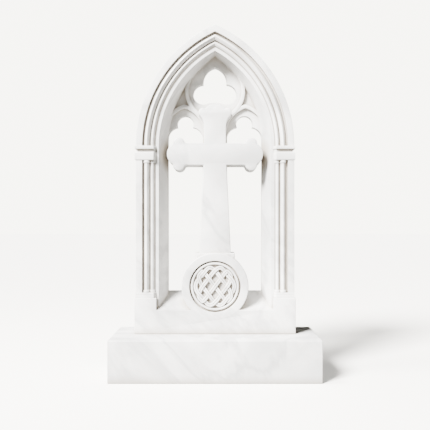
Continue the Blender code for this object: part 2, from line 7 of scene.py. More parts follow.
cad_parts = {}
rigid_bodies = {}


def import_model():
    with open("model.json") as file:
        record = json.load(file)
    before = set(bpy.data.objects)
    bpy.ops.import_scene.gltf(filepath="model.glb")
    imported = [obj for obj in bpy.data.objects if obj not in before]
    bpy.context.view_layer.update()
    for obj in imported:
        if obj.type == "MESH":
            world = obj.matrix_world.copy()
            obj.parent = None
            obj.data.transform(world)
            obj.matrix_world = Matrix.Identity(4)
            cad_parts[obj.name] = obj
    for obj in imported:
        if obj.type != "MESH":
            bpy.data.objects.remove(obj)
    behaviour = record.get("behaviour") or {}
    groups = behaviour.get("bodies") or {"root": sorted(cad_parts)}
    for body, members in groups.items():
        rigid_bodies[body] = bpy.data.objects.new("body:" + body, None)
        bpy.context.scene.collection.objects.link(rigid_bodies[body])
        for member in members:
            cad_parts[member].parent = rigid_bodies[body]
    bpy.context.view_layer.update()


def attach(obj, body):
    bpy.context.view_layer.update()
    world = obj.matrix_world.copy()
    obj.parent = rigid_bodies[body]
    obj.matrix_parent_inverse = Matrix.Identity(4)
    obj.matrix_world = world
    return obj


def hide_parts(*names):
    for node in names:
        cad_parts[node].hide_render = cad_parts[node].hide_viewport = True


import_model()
print("frame loaded")

# Metres throughout. The front faces -Y and the ground is at Z = 0.
overlap = 0.004  # where one carved form runs into another
cutPast = 0.010  # how far a cutter stands past what it cuts
weldDistance = 1e-6  # points nearer than this are one point
mirrorWeld, turnedWeld = 2e-5, 1e-5  # the same, across the mirror and round a turned shape
sharpAngle = 0.50  # edges bent by more than this stay crisp, in radians

# Base block: an eased arris on a squared block, and where the stone stands on it
block = {
    "width": 0.762, "depth": 0.305, "height": 0.1524,
    "arris": 0.0035, "arrisSteps": 4, "joint": 0.0003, "frontMargin": 0.135,
}
bed = block["height"] + block["joint"]
faceY = block["frontMargin"] - block["depth"] / 2


def makeBlock():
    mesh = bpy.data.meshes.new("baseBlock")
    shape = bmesh.new()
    size = (block["width"], block["depth"], block["height"])
    bmesh.ops.create_cube(shape, size=1.0)
    bmesh.ops.scale(shape, vec=size, verts=shape.verts)
    bmesh.ops.translate(shape, vec=(0, 0, block["height"] / 2), verts=shape.verts)
    bmesh.ops.bevel(
        shape, geom=shape.edges, offset=block["arris"], segments=block["arrisSteps"],
        profile=0.5, affect="EDGES", clamp_overlap=True,
    )
    shape.to_mesh(mesh)
    shape.free()
    return mesh


# Which way a flat outline faces, and the tools that shape and cut it
facings = {
    "front": Matrix(((1, 0, 0), (0, 0, -1), (0, 1, 0))).to_4x4(),
    "plan": Matrix.Identity(4),
    "side": Matrix(((0, 0, 1), (1, 0, 0), (0, 1, 0))).to_4x4(),
}
workshop = bpy.data.collections.new("workshop")  # holds the shapes while the stone is cut
bpy.context.scene.collection.children.link(workshop)


def closeUp(mesh):
    shape = bmesh.new()
    shape.from_mesh(mesh)
    bmesh.ops.remove_doubles(shape, verts=shape.verts, dist=weldDistance)
    bmesh.ops.recalc_face_normals(shape, faces=shape.faces)
    shape.to_mesh(mesh)
    shape.free()


def newShape(name, mesh):
    shape = bpy.data.objects.new(name, mesh)
    workshop.objects.link(shape)
    return shape


# The evaluated object as a plain mesh in world space
def plainMesh(shape):
    bpy.context.view_layer.update()
    graph = bpy.context.evaluated_depsgraph_get()
    mesh = bpy.data.meshes.new_from_object(shape.evaluated_get(graph))
    mesh.transform(shape.matrix_world)
    return mesh


def addSpline(curve, points):
    spline = curve.splines.new("POLY")
    spline.points.add(len(points) - 1)
    for splinePoint, point in zip(spline.points, points):
        splinePoint.co = (point[0], point[1], 0.0, 1.0)
    spline.use_cyclic_u = True


# A flat outline, with its holes, made solid between two places on its facing axis
def slab(name, outlines, start, end, facing="front", rounding=0.0, segments=0):
    curve = bpy.data.curves.new(name, "CURVE")
    curve.dimensions = "2D"
    curve.fill_mode = "BOTH"
    curve.extrude = (end - start) / 2 - rounding
    curve.bevel_depth = rounding
    curve.bevel_resolution = segments
    curve.offset = -rounding
    for outline in outlines:
        addSpline(curve, outline)
    curveObject = bpy.data.objects.new(name, curve)
    workshop.objects.link(curveObject)
    middle = (start + end) / 2
    centre = {
        "front": Vector((0, faceY + middle, 0)),
        "plan": Vector((0, 0, middle)),
        "side": Vector((middle, 0, 0)),
    }[facing]
    curveObject.matrix_world = Matrix.Translation(centre) @ facings[facing]
    mesh = plainMesh(curveObject)
    closeUp(mesh)
    bpy.data.objects.remove(curveObject, do_unlink=True)
    bpy.data.curves.remove(curve)
    return newShape(name, mesh)


# Skins closed sections with the same number of points, and closes both ends
def loft(name, sections):
    shape = bmesh.new()
    rings = [[shape.verts.new(point) for point in section] for section in sections]
    for ring, following in zip(rings, rings[1:]):
        count = len(ring)
        for index in range(count):
            after = (index + 1) % count
            shape.faces.new((ring[index], ring[after], following[after], following[index]))
    shape.faces.new(rings[0])
    shape.faces.new(rings[-1])
    bmesh.ops.recalc_face_normals(shape, faces=shape.faces)
    mesh = bpy.data.meshes.new(name)
    shape.to_mesh(mesh)
    shape.free()
    return newShape(name, mesh)


def bothSides(shape, bisect=False):
    mirror = shape.modifiers.new("other side", "MIRROR")
    mirror.use_axis = (True, False, False)
    mirror.use_bisect_axis = (bisect, False, False)
    mirror.use_bisect_flip_axis = (bisect, False, False)
    mirror.merge_threshold = mirrorWeld
    return shape


def carve(stone, tool, operation):
    step = stone.modifiers.new(tool.name, "BOOLEAN")
    step.operation = operation
    step.solver = "MANIFOLD"
    step.object = tool


def arc(centreX, centreZ, radius, start, end, steps):
    angles = [start + (end - start) * step / steps for step in range(steps + 1)]
    return [(centreX + radius * cos(a), centreZ + radius * sin(a)) for a in angles]


def circlesMeet(first, firstRadius, second, secondRadius):
    across, up = second[0] - first[0], second[1] - first[1]
    distance = hypot(across, up)
    along = (firstRadius**2 - secondRadius**2 + distance**2) / (2 * distance)
    aside = sqrt(firstRadius**2 - along**2)
    unitX, unitZ = across / distance, up / distance
    return (first[0] + along * unitX - aside * unitZ, first[1] + along * unitZ + aside * unitX)


def angleFrom(centre, point):
    return atan2(point[1] - centre[1], point[0] - centre[0])


# A two-centred arch on straight legs, from the left foot round to the right one
def pointedArch(centre, halfSpan, radius, spring, foot, steps):
    offset = radius - halfSpan
    left = arc(centre + offset, spring, radius, pi, pi - acos(offset / radius), steps)
    right = [(2 * centre - x, z) for x, z in reversed(left[:-1])]
    return [(centre - halfSpan, foot)] + left + right + [(centre + halfSpan, foot)]


# Geometry Nodes: one tree, shared by the rolls and the strands of the knot
def newTree(name, sizes):
    tree = bpy.data.node_groups.new(name, "GeometryNodeTree")
    face = tree.interface
    face.new_socket("Geometry", in_out="INPUT", socket_type="NodeSocketGeometry")
    for label, kind, value in sizes:
        socket = face.new_socket(label, in_out="INPUT", socket_type=kind)
        if value is not None:
            socket.default_value = value
    face.new_socket("Geometry", in_out="OUTPUT", socket_type="NodeSocketGeometry")
    return tree, tree.nodes.new("NodeGroupInput"), tree.nodes.new("NodeGroupOutput")


def finishTree(tree, geometry, given, result):
    realize = tree.nodes.new("GeometryNodeRealizeInstances")
    paint = tree.nodes.new("GeometryNodeSetMaterial")
    tree.links.new(geometry, realize.inputs["Geometry"])
    tree.links.new(realize.outputs["Geometry"], paint.inputs["Geometry"])
    tree.links.new(given.outputs["Stone"], paint.inputs["Material"])
    tree.links.new(paint.outputs["Geometry"], result.inputs["Geometry"])


def mathNode(tree, operation, first, second=None):
    node = tree.nodes.new("ShaderNodeMath")
    node.operation = operation
    for socket, value in zip(node.inputs, (first, second)):
        if value is None:
            continue
        if isinstance(value, (int, float)):
            socket.default_value = value
        else:
            tree.links.new(value, socket)
    return node.outputs[0]


# A moulding swept along a line: round where Corners is 1, keeled above it, flat-faced below
def makeMouldingTree():
    tree, given, result = newTree("moulding along a line", (
        ("Width", "NodeSocketFloat", 0.012),
        ("Thickness", "NodeSocketFloat", 0.008),
        ("Corners", "NodeSocketFloat", 1.0),
        ("Sides", "NodeSocketInt", 20),
        ("Stone", "NodeSocketMaterial", None),
    ))
    line = tree.nodes.new("GeometryNodeMeshToCurve")
    level = tree.nodes.new("GeometryNodeSetCurveNormal")
    level.mode = "Z_UP"
    ring = tree.nodes.new("GeometryNodeCurvePrimitiveCircle")
    ring.inputs["Radius"].default_value = 1.0
    place = tree.nodes.new("GeometryNodeInputPosition")
    parts = tree.nodes.new("ShaderNodeSeparateXYZ")
    tree.links.new(place.outputs["Position"], parts.inputs["Vector"])
    sides = []
    for axis, size in (("X", "Width"), ("Y", "Thickness")):
        amount = mathNode(tree, "ABSOLUTE", parts.outputs[axis])
        squared = mathNode(tree, "POWER", amount, given.outputs["Corners"])
        signed = mathNode(tree, "MULTIPLY", squared, mathNode(tree, "SIGN", parts.outputs[axis]))
        half = mathNode(tree, "MULTIPLY", given.outputs[size], 0.5)
        sides.append(mathNode(tree, "MULTIPLY", signed, half))
    join = tree.nodes.new("ShaderNodeCombineXYZ")
    tree.links.new(sides[0], join.inputs["X"])
    tree.links.new(sides[1], join.inputs["Y"])
    shape = tree.nodes.new("GeometryNodeSetPosition")
    sweep = tree.nodes.new("GeometryNodeCurveToMesh")
    sweep.inputs["Fill Caps"].default_value = True
    tree.links.new(given.outputs["Geometry"], line.inputs["Mesh"])
    tree.links.new(line.outputs["Curve"], level.inputs["Curve"])
    tree.links.new(given.outputs["Sides"], ring.inputs["Resolution"])
    tree.links.new(ring.outputs["Curve"], shape.inputs["Geometry"])
    tree.links.new(join.outputs["Vector"], shape.inputs["Position"])
    tree.links.new(level.outputs["Curve"], sweep.inputs["Curve"])
    tree.links.new(shape.outputs["Geometry"], sweep.inputs["Profile Curve"])
    finishTree(tree, sweep.outputs["Mesh"], given, result)
    return tree


# Runs a tree on a line of points and gives back a plain, closed mesh object
def grow(name, points, closed, values):
    mesh = bpy.data.meshes.new(name)
    edges = [(index, index + 1) for index in range(len(points) - 1)]
    if closed:
        edges.append((len(points) - 1, 0))
    mesh.from_pydata(points, edges, [])
    guide = newShape(name, mesh)
    modifier = guide.modifiers.new(name, "NODES")
    modifier.node_group = mouldingTree
    for item in mouldingTree.interface.items_tree:
        if item.in_out == "INPUT" and item.name in values:
            modifier[item.identifier] = values[item.name]
    grown = plainMesh(guide)
    closeUp(grown)
    bpy.data.objects.remove(guide, do_unlink=True)
    return newShape(name, grown)


# Marble: pale body with soft clouds, thin grey veins on the slant, a fine grain, and painted
# shade in its hollows
marbleLook = {
    "body": (0.76, 0.752, 0.735), "cloud": (0.55, 0.547, 0.54), "vein": (0.33, 0.33, 0.335),
    "cloudScale": 4.5, "cloudDetail": 5.0, "cloudTwist": 0.8, "cloudFrom": 0.35, "cloudTo": 0.62,
    "veinScale": 2.2, "veinDetail": 7.0, "veinRoughness": 0.55, "veinTwist": 1.4,
    "veinStretch": (1.0, 1.0, 0.45), "veinMiddle": 0.50, "veinHalfWidth": 0.045,
    "veinStrength": 0.45,
    "grainScale": 420.0, "grainDetail": 3.0, "grainDepth": 0.00012, "grainStrength": 0.35,
    "baseRoughness": 0.50, "carvedRoughness": 0.46, "duller": 0.07, "glossier": 0.05,
    "baseTurn": (0.3, 0.5, 0.2), "carvedTurn": (0.2, 0.65, 0.0), "shine": 0.4,
    # painted shade: the warm tan laid into the recesses, how far it looks and how strongly it
    # darkens
    "paintedShade": (0.34, 0.30, 0.25), "paintedShadeReach": 0.045, "paintedShadeStart": 0.84, "paintedShadeFull": 0.34,
    "paintedShadeStrength": 0.90, "paintedShadeSamples": 8,
}
colourA, colourB, colourOut = 6, 7, 2  # where a Mix node set to RGBA keeps its colour sockets


def makeMarble(name, roughness, turn):
    material = bpy.data.materials.new(name)
    material.use_nodes = True
    nodes, links = material.node_tree.nodes, material.node_tree.links
    shader = nodes["Principled BSDF"]
    place = nodes.new("ShaderNodeTexCoord")
    mapping = nodes.new("ShaderNodeMapping")
    mapping.inputs["Rotation"].default_value = turn
    links.new(place.outputs["Object"], mapping.inputs["Vector"])

    clouds = nodes.new("ShaderNodeTexNoise")
    clouds.inputs["Scale"].default_value = marbleLook["cloudScale"]
    clouds.inputs["Detail"].default_value = marbleLook["cloudDetail"]
    clouds.inputs["Distortion"].default_value = marbleLook["cloudTwist"]
    links.new(mapping.outputs["Vector"], clouds.inputs["Vector"])
    cloudRamp = nodes.new("ShaderNodeValToRGB")
    cloudRamp.color_ramp.elements[0].position = marbleLook["cloudFrom"]
    cloudRamp.color_ramp.elements[0].color = (*marbleLook["cloud"], 1)
    cloudRamp.color_ramp.elements[1].position = marbleLook["cloudTo"]
    cloudRamp.color_ramp.elements[1].color = (*marbleLook["body"], 1)
    links.new(clouds.outputs["Fac"], cloudRamp.inputs["Fac"])

    # veins run where a stretched, twisted noise passes through its middle value
    stretch = nodes.new("ShaderNodeMapping")
    stretch.inputs["Scale"].default_value = marbleLook["veinStretch"]
    links.new(mapping.outputs["Vector"], stretch.inputs["Vector"])
    veins = nodes.new("ShaderNodeTexNoise")
    veins.inputs["Scale"].default_value = marbleLook["veinScale"]
    veins.inputs["Detail"].default_value = marbleLook["veinDetail"]
    veins.inputs["Roughness"].default_value = marbleLook["veinRoughness"]
    veins.inputs["Distortion"].default_value = marbleLook["veinTwist"]
    links.new(stretch.outputs["Vector"], veins.inputs["Vector"])
    veinRamp = nodes.new("ShaderNodeValToRGB")
    ramp = veinRamp.color_ramp
    ramp.elements[0].position = marbleLook["veinMiddle"] - marbleLook["veinHalfWidth"]
    ramp.elements[0].color = (0, 0, 0, 1)
    ramp.elements[1].position = marbleLook["veinMiddle"] + marbleLook["veinHalfWidth"]
    ramp.elements[1].color = (0, 0, 0, 1)
    middle = ramp.elements.new(marbleLook["veinMiddle"])
    middle.color = (1, 1, 1, 1)
    links.new(veins.outputs["Fac"], veinRamp.inputs["Fac"])
    strength = nodes.new("ShaderNodeMath")
    strength.operation = "MULTIPLY"
    strength.inputs[1].default_value = marbleLook["veinStrength"]
    links.new(veinRamp.outputs["Color"], strength.inputs[0])
    mix = nodes.new("ShaderNodeMix")
    mix.data_type = "RGBA"
    links.new(strength.outputs[0], mix.inputs["Factor"])
    links.new(cloudRamp.outputs["Color"], mix.inputs[colourA])
    mix.inputs[colourB].default_value = (*marbleLook["vein"], 1)

    # painted shade: a warm tan is mixed into the base colour where ambient occlusion finds the
    # carving deep and narrow
    hollow = nodes.new("ShaderNodeAmbientOcclusion")
    hollow.samples = marbleLook["paintedShadeSamples"]
    hollow.inputs["Distance"].default_value = marbleLook["paintedShadeReach"]
    depth = nodes.new("ShaderNodeMapRange")
    depth.inputs["From Min"].default_value = marbleLook["paintedShadeStart"]
    depth.inputs["From Max"].default_value = marbleLook["paintedShadeFull"]
    depth.inputs["To Max"].default_value = marbleLook["paintedShadeStrength"]
    links.new(hollow.outputs["AO"], depth.inputs["Value"])
    paintedShadeMix = nodes.new("ShaderNodeMix")
    paintedShadeMix.data_type = "RGBA"
    links.new(depth.outputs["Result"], paintedShadeMix.inputs["Factor"])
    links.new(mix.outputs[colourOut], paintedShadeMix.inputs[colourA])
    paintedShadeMix.inputs[colourB].default_value = (*marbleLook["paintedShade"], 1)
    links.new(paintedShadeMix.outputs[colourOut], shader.inputs["Base Color"])

    grain = nodes.new("ShaderNodeTexNoise")
    grain.inputs["Scale"].default_value = marbleLook["grainScale"]
    grain.inputs["Detail"].default_value = marbleLook["grainDetail"]
    links.new(place.outputs["Object"], grain.inputs["Vector"])
    bump = nodes.new("ShaderNodeBump")
    bump.inputs["Strength"].default_value = marbleLook["grainStrength"]
    bump.inputs["Distance"].default_value = marbleLook["grainDepth"]
    links.new(grain.outputs["Fac"], bump.inputs["Height"])
    links.new(bump.outputs["Normal"], shader.inputs["Normal"])
    sheen = nodes.new("ShaderNodeMapRange")
    sheen.inputs["To Min"].default_value = roughness - marbleLook["glossier"]
    sheen.inputs["To Max"].default_value = roughness + marbleLook["duller"]
    links.new(clouds.outputs["Fac"], sheen.inputs["Value"])
    links.new(sheen.outputs["Result"], shader.inputs["Roughness"])
    shader.inputs["Specular IOR Level"].default_value = marbleLook["shine"]
    return material


baseMarble = makeMarble("baseMarble", marbleLook["baseRoughness"], marbleLook["baseTurn"])
carvedMarble = makeMarble("carvedMarble", marbleLook["carvedRoughness"], marbleLook["carvedTurn"])
print("marble ready")


# Plinth: a block under each jamb, and between them the sill with its weathered slope
plinth = {
    "width": 0.605, "depth": 0.135, "pierWidth": 0.0825, "pierHeight": 0.1343,
    "sillHeight": 0.0898, "sillRise": 0.0605, "arris": 0.003, "arrisSteps": 2,
}
pierTopZ = bed + plinth["pierHeight"]


def makePlinth(stone):
    p = plinth
    half = p["width"] / 2
    inner = half - p["pierWidth"]
    sill = bed + p["sillHeight"]
    outline = [
        (-half, bed), (half, bed), (half, pierTopZ), (inner, pierTopZ),
        (inner, sill), (-inner, sill), (-inner, pierTopZ), (-half, pierTopZ),
    ]
    body = slab("plinth", [outline], 0.0, p["depth"], "front", p["arris"], p["arrisSteps"])
    carve(stone, body, "UNION")
    lip = p["arris"]
    back = p["depth"] - p["arris"]
    profile = [
        (faceY + lip, sill - overlap),
        (faceY + back, sill - overlap),
        (faceY + back, sill + p["sillRise"]),
        (faceY + lip, sill - p["sillRise"] * 2 * lip / p["depth"]),
    ]
    reach = inner + overlap
    carve(stone, slab("weathering", [profile], -reach, reach, "side"), "UNION")


# Moulded frame: one block, with its orders and its splayed reveal cut back in steps
arch = {
    "inset": 0.0045, "springHeight": 0.7063, "radius": 0.499,
    "outerFillet": 0.0235, "groove": 0.007, "rollRadius": 0.01025, "rollGap": 0.0005,
    "firstRoll": 0.015, "secondRoll": 0.023, "firstBed": 0.018, "secondBed": 0.027,
    "filletDepth": 0.020, "filletGap": 0.0002, "innerFillet": 0.0131,
    "keel": 1.6,  # 1 is a round roll, 2 a square one on its corner
    "splay": 0.029, "backRadius": 0.4453, "traceryDepth": 0.100,
    "arris": 0.0016, "arrisSteps": 2,
    "steps": 40, "rollSides": 28,
}
springZ = bed + arch["springHeight"]
outerHalf = plinth["width"] / 2 - arch["inset"]
archOffset = arch["radius"] - outerHalf
firstBedHalf = outerHalf - arch["outerFillet"]
firstRollHalf = firstBedHalf - arch["groove"] - arch["rollRadius"]
secondRollHalf = firstRollHalf - 2 * arch["rollRadius"] - arch["rollGap"]
secondBedHalf = (firstRollHalf + secondRollHalf) / 2
filletHalf = secondRollHalf - arch["rollRadius"] - arch["rollGap"]
revealFrontHalf = secondRollHalf - arch["rollRadius"] - arch["innerFillet"]
revealBackHalf = revealFrontHalf - arch["splay"]


def frameLine(halfWidth, foot):
    return pointedArch(0.0, halfWidth, halfWidth + archOffset, springZ, foot, arch["steps"])


def revealSection(depth, foot):
    front = frameLine(revealFrontHalf, foot)
    back = pointedArch(0.0, revealBackHalf, arch["backRadius"], springZ, foot, arch["steps"])
    share = (depth - arch["filletDepth"]) / (arch["traceryDepth"] - arch["filletDepth"])
    return [
        (fx + share * (bx - fx), faceY + depth, fz + share * (bz - fz))
        for (fx, fz), (bx, bz) in zip(front, back)
    ]


def makeFrame():
    foot = bed + overlap
    outline = frameLine(outerHalf, foot)
    ends = arch["inset"], plinth["depth"] - arch["inset"]
    stone = slab("carvedStone", [outline], *ends, "front", arch["arris"], arch["arrisSteps"])
    below = foot - cutPast
    first = slab("first bed", [frameLine(firstBedHalf, below)], -cutPast, arch["firstBed"])
    carve(stone, first, "DIFFERENCE")
    ring = frameLine(secondBedHalf, below) + frameLine(filletHalf, below)[::-1]
    carve(stone, slab("second bed", [ring], 0.0, arch["secondBed"]), "DIFFERENCE")
    inside = frameLine(filletHalf - arch["filletGap"], below)
    fillet = slab("fillet", [inside], 0.0, arch["filletDepth"])
    carve(stone, fillet, "DIFFERENCE")
    depths = (arch["filletDepth"] - overlap, arch["traceryDepth"])
    sections = [revealSection(depth, below) for depth in depths]
    carve(stone, loft("splayed reveal", sections), "DIFFERENCE")
    return stone


# Rolls on the arch, shafts on the jambs: one line from the jamb's foot to the point
def makeRolls(stone):
    size = 2 * arch["rollRadius"]
    values = {"Width": size, "Thickness": size, "Corners": arch["keel"],
              "Sides": arch["rollSides"], "Stone": carvedMarble}
    for name, half in (("firstRoll", firstRollHalf), ("secondRoll", secondRollHalf)):
        height = -(faceY + arch[name])
        radius = half + archOffset
        pastPoint = acos(archOffset / radius) + 2 * arch["rollRadius"] / radius
        bend = arc(archOffset, springZ, radius, pi, pi - pastPoint, arch["steps"])
        path = [(-half, pierTopZ - overlap, height)] + [(x, z, height) for x, z in bend]
        roll = grow(name, path, False, values)
        roll.data.transform(facings["front"])
        carve(stone, bothSides(roll, True), "UNION")


# Jambs: capitals and bases round the shafts
jamb = {
    "projection": 0.0035, "abacus": 0.012, "neck": 0.011, "bell": 0.031,
    "ring": 0.009, "ringProjection": 0.0022, "ringRounding": 0.8,
    "footSlab": 0.011, "footCove": 0.009, "footProjection": 0.0012,
    "hollowProjection": 0.0006, "neckSink": 0.006, "rounding": 0.002,
    "bellRounding": 0.004, "ringSides": 28, "steps": 3,
}


# Plan of a capital or a jamb base: round the fillet and both shafts, canted inwards
def jambPlan(projection):
    outer = -(outerHalf + projection)
    front = faceY + arch["inset"] - projection
    cantStart = -(secondRollHalf - arch["rollRadius"] / 2)
    cantEnd = -(revealFrontHalf + arch["inset"] / 2)
    back = faceY + plinth["depth"] - arch["inset"] + projection
    cantBack = faceY + arch["secondBed"] + overlap
    cant = [(cantStart, front), (cantEnd, cantBack)]
    return [(outer, back), (outer, front)] + cant + [(cantEnd, back)]


def makeCapitals(stone):
    j = jamb
    lap = j["rounding"] / 2
    neckTop = springZ - j["abacus"]
    neckFoot = neckTop - j["neck"]
    bellFoot = neckFoot - j["bell"]
    slabTop = pierTopZ + j["footSlab"]
    coveTop = slabTop + j["footCove"]
    neckPlans = [jambPlan(cutPast), jambPlan(-j["neckSink"])]
    groove = slab("neck groove", neckPlans, neckFoot, neckTop, "plan")
    carve(stone, bothSides(groove), "DIFFERENCE")
    tiers = (
        ("abacus", neckTop, springZ, j["projection"], j["rounding"]),
        ("neck", neckFoot - lap, neckTop + lap, -j["neckSink"], 0.0),
        ("bell", bellFoot, neckFoot, j["projection"], j["bellRounding"]),
        ("foot slab", pierTopZ - overlap, slabTop, j["footProjection"], j["rounding"]),
        ("foot cove", slabTop - lap, coveTop, j["hollowProjection"], j["rounding"]),
    )
    for name, low, high, projection, rounding in tiers:
        plan = [jambPlan(projection)]
        tier = slab(name, plan, low, high, "plan", rounding, j["steps"] if rounding else 0)
        carve(stone, bothSides(tier), "UNION")
    shafts = ((firstRollHalf, arch["firstRoll"]), (secondRollHalf, arch["secondRoll"]))
    for name, low in (("upper ring", bellFoot - j["ring"]), ("lower ring", coveTop)):
        for half, rollDepth in shafts:
            depth = faceY + rollDepth
            tube = arch["rollRadius"] + j["ringProjection"]
            circle = arc(-half, depth, tube, 0, 2 * pi, j["ringSides"])[:-1]
            ends = low - lap, low + j["ring"] + lap
            rounding = j["ringProjection"] * j["ringRounding"]
            ring = slab(name, [circle], *ends, "plan", rounding, j["steps"])
            carve(stone, bothSides(ring), "UNION")


# Tracery: a pointed trefoil in a ring over two trefoil-headed lights
tracery = {
    "barDepth": 0.086, "barWidth": 0.014, "barStep": 0.0015, "barArris": 0.002,
    "barArrisSteps": 1,
    "circleHeight": 0.9307, "circleRadius": 0.103, "circleEnd": 0.80, "circleTaper": 1.05,
    "lightCentre": 0.115, "lobeOffset": 0.0235, "lobeRadius": 0.044, "lobeHeight": 0.7473,
    "topLobeRadius": 0.0318, "topLobeRise": 0.056,
    "subCentre": 0.119, "subHalf": 0.076, "subRadius": 0.110, "subSpring": 0.7593,
    "trefoilOffset": 0.045, "trefoilRadius": 0.0395, "trefoilDrop": 0.0117,
    "pointRadius": 0.060, "pointRise": 0.0365, "trefoilSill": 0.008, "steps": 22,
}
circleZ = bed + tracery["circleHeight"]


def lightOutline():
    t = tracery
    lobe = (-t["lobeOffset"], bed + t["lobeHeight"])
    top = (0.0, lobe[1] + t["topLobeRise"])
    cusp = circlesMeet(lobe, t["lobeRadius"], top, t["topLobeRadius"])
    left = [(-t["lobeOffset"] - t["lobeRadius"], bed + overlap - cutPast)]
    left += arc(*lobe, t["lobeRadius"], pi, angleFrom(lobe, cusp), t["steps"])
    cuspAngle = angleFrom(top, cusp) % (2 * pi)
    left += arc(*top, t["topLobeRadius"], cuspAngle, pi / 2, t["steps"])[1:]
    right = [(-x, z) for x, z in reversed(left[:-1])]
    return [(x - t["lightCentre"], z) for x, z in left + right]


def trefoilOutline():
    t = tracery
    lobe = (-t["trefoilOffset"], circleZ - t["trefoilDrop"])
    cusp = lobe[1] + t["trefoilRadius"]
    spring = circleZ + t["pointRise"]
    point = pointedArch(0.0, t["trefoilOffset"], t["pointRadius"], spring, cusp, t["steps"])
    left = [(0.0, lobe[1] - t["trefoilRadius"] + t["trefoilSill"])]
    sillAngle, topAngle = -pi / 3, -3 * pi / 2
    left += arc(*lobe, t["trefoilRadius"], sillAngle, topAngle, 2 * t["steps"])
    left += point[1 : len(point) // 2 + 1]
    right = [(-x, z) for x, z in reversed(left[1:-1])]
    return left + right


# The ring round the trefoil dies into the reveal below the arch's point
def circleBarOutline():
    t = tracery
    steps = 4 * t["steps"]
    first = pi / 2 - t["circleEnd"]
    last = first + 2 * t["circleEnd"] - 2 * pi
    outer = arc(0.0, circleZ, t["circleRadius"] + t["barWidth"], first, last, steps)
    inner = []
    for step in range(steps + 1):
        angle = first + (last - first) * step / steps
        fromTop = min(pi / 2 - angle, angle - last + t["circleEnd"])
        share = (t["circleTaper"] - fromTop) / (t["circleTaper"] - t["circleEnd"])
        radius = t["circleRadius"] + t["barWidth"] / 2 * max(share, 0.0)
        inner.append((radius * cos(angle), circleZ + radius * sin(angle)))
    return outer + inner[::-1]


def makeTracery(stone):
    t = tracery
    front, past = arch["traceryDepth"] - cutPast, plinth["depth"] + cutPast
    carve(stone, bothSides(slab("light", [lightOutline()], front, past)), "DIFFERENCE")
    carve(stone, slab("trefoil", [trefoilOutline()], front, past), "DIFFERENCE")
    back = arch["traceryDepth"] + overlap
    edge = t["barArris"], t["barArrisSteps"]
    ring = slab("circle bar", [circleBarOutline()], t["barDepth"], back, "front", *edge)
    carve(stone, ring, "UNION")
    spring = bed + t["subSpring"]
    inner = pointedArch(-t["subCentre"], t["subHalf"], t["subRadius"], spring, armZ, t["steps"])
    outer = pointedArch(
        -t["subCentre"], t["subHalf"] + t["barWidth"], t["subRadius"] + t["barWidth"],
        spring, armZ, t["steps"],
    )
    start = t["barDepth"] + t["barStep"]
    bar = slab("light bar", [outer + inner[::-1]], start, back + t["barStep"], "front", *edge)
    carve(stone, bothSides(bar), "UNION")


# Cross: eared arms and head on a tapering shaft, with a step behind the roundel
cross = {
    "faceDepth": 0.020, "thickness": 0.096, "arris": 0.005, "arrisSteps": 1,
    "armHeight": 0.6773, "armHalf": 0.042, "armReach": 0.1821, "armTip": 0.0447,
    "armEarOffset": 0.040, "armEar": 0.0227, "armFillet": 0.009,
    "headReach": 0.1902, "headTip": 0.0473, "headEarBack": 0.0322,
    "headEarOffset": 0.0455, "headEar": 0.017, "headFillet": 0.060, "neckHalf": 0.0423,
    "shaftTopHalf": 0.0442, "shaftFootHalf": 0.060, "stepHalf": 0.0747, "stepLift": 0.0005,
    "steps": 16,
}
armZ = bed + cross["armHeight"]


def endSide(half, reach, tipRadius, ear, earRadius, fillet):
    steps = cross["steps"]
    tipCentre = (reach - tipRadius, 0.0)
    notch = circlesMeet(ear, earRadius, tipCentre, tipRadius)
    drop = half + fillet - ear[1]
    filletCentre = (ear[0] - sqrt((earRadius + fillet) ** 2 - drop**2), half + fillet)
    turn = angleFrom(filletCentre, ear)
    points = arc(*filletCentre, fillet, -pi / 2, turn, steps // 2)
    points += arc(*ear, earRadius, turn + pi, angleFrom(ear, notch), steps)[1:]
    points += arc(*tipCentre, tipRadius, angleFrom(tipCentre, notch), 0.0, steps)[1:]
    return points


def crossOutline():
    c = cross
    armEar = (c["armReach"] - c["armTip"], c["armEarOffset"])
    arm = endSide(c["armHalf"], c["armReach"], c["armTip"], armEar, c["armEar"], c["armFillet"])
    headEar = (c["headReach"] - c["headEarBack"], c["headEarOffset"])
    head = endSide(
        c["neckHalf"], c["headReach"], c["headTip"], headEar, c["headEar"], c["headFillet"]
    )
    right = [(c["shaftFootHalf"], roundelZ)]
    right += [(c["shaftFootHalf"], roundelZ + roundel["radius"])]
    right += [(c["shaftTopHalf"], armZ - c["armHalf"])]
    right += [(along, armZ - across) for along, across in arm]
    right += [(along, armZ + across) for along, across in reversed(arm[:-1])]
    right += [(c["neckHalf"], armZ + c["armHalf"])]
    right += [(across, armZ + along) for along, across in head]
    return right + [(-x, z) for x, z in reversed(right[:-1])]


def makeCross(stone):
    c = cross
    back = c["faceDepth"] + c["thickness"]
    outline = [crossOutline()]
    body = slab("cross", outline, c["faceDepth"], back, "front", c["arris"], c["arrisSteps"])
    carve(stone, body, "UNION")
    top = roundelZ + roundel["radius"] - c["stepLift"]
    low = bed + plinth["sillHeight"] - overlap
    half = c["stepHalf"]
    step = [(-half, low), (half, low), (half, top), (-half, top)]
    ends = c["faceDepth"] - c["arris"], back + c["arris"]
    carve(stone, slab("cross step", [step], *ends, "front", c["arris"], c["arrisSteps"]), "UNION")


# Roundel: a turned disc with a sunk field and a border ring, facing the front
roundel = {
    "height": 0.1775, "radius": 0.126, "thickness": 0.078, "rim": 0.0294, "arris": 0.004,
    "recess": 0.016, "proud": 0.0003, "borderClearance": 0.0055, "borderWidth": 0.0095,
    "borderHeight": 0.012, "steps": 128,
    "borderSteps": 10, "innerEdgeSteps": 4, "outerEdgeSteps": 5,
}
roundelZ = bed + roundel["height"]


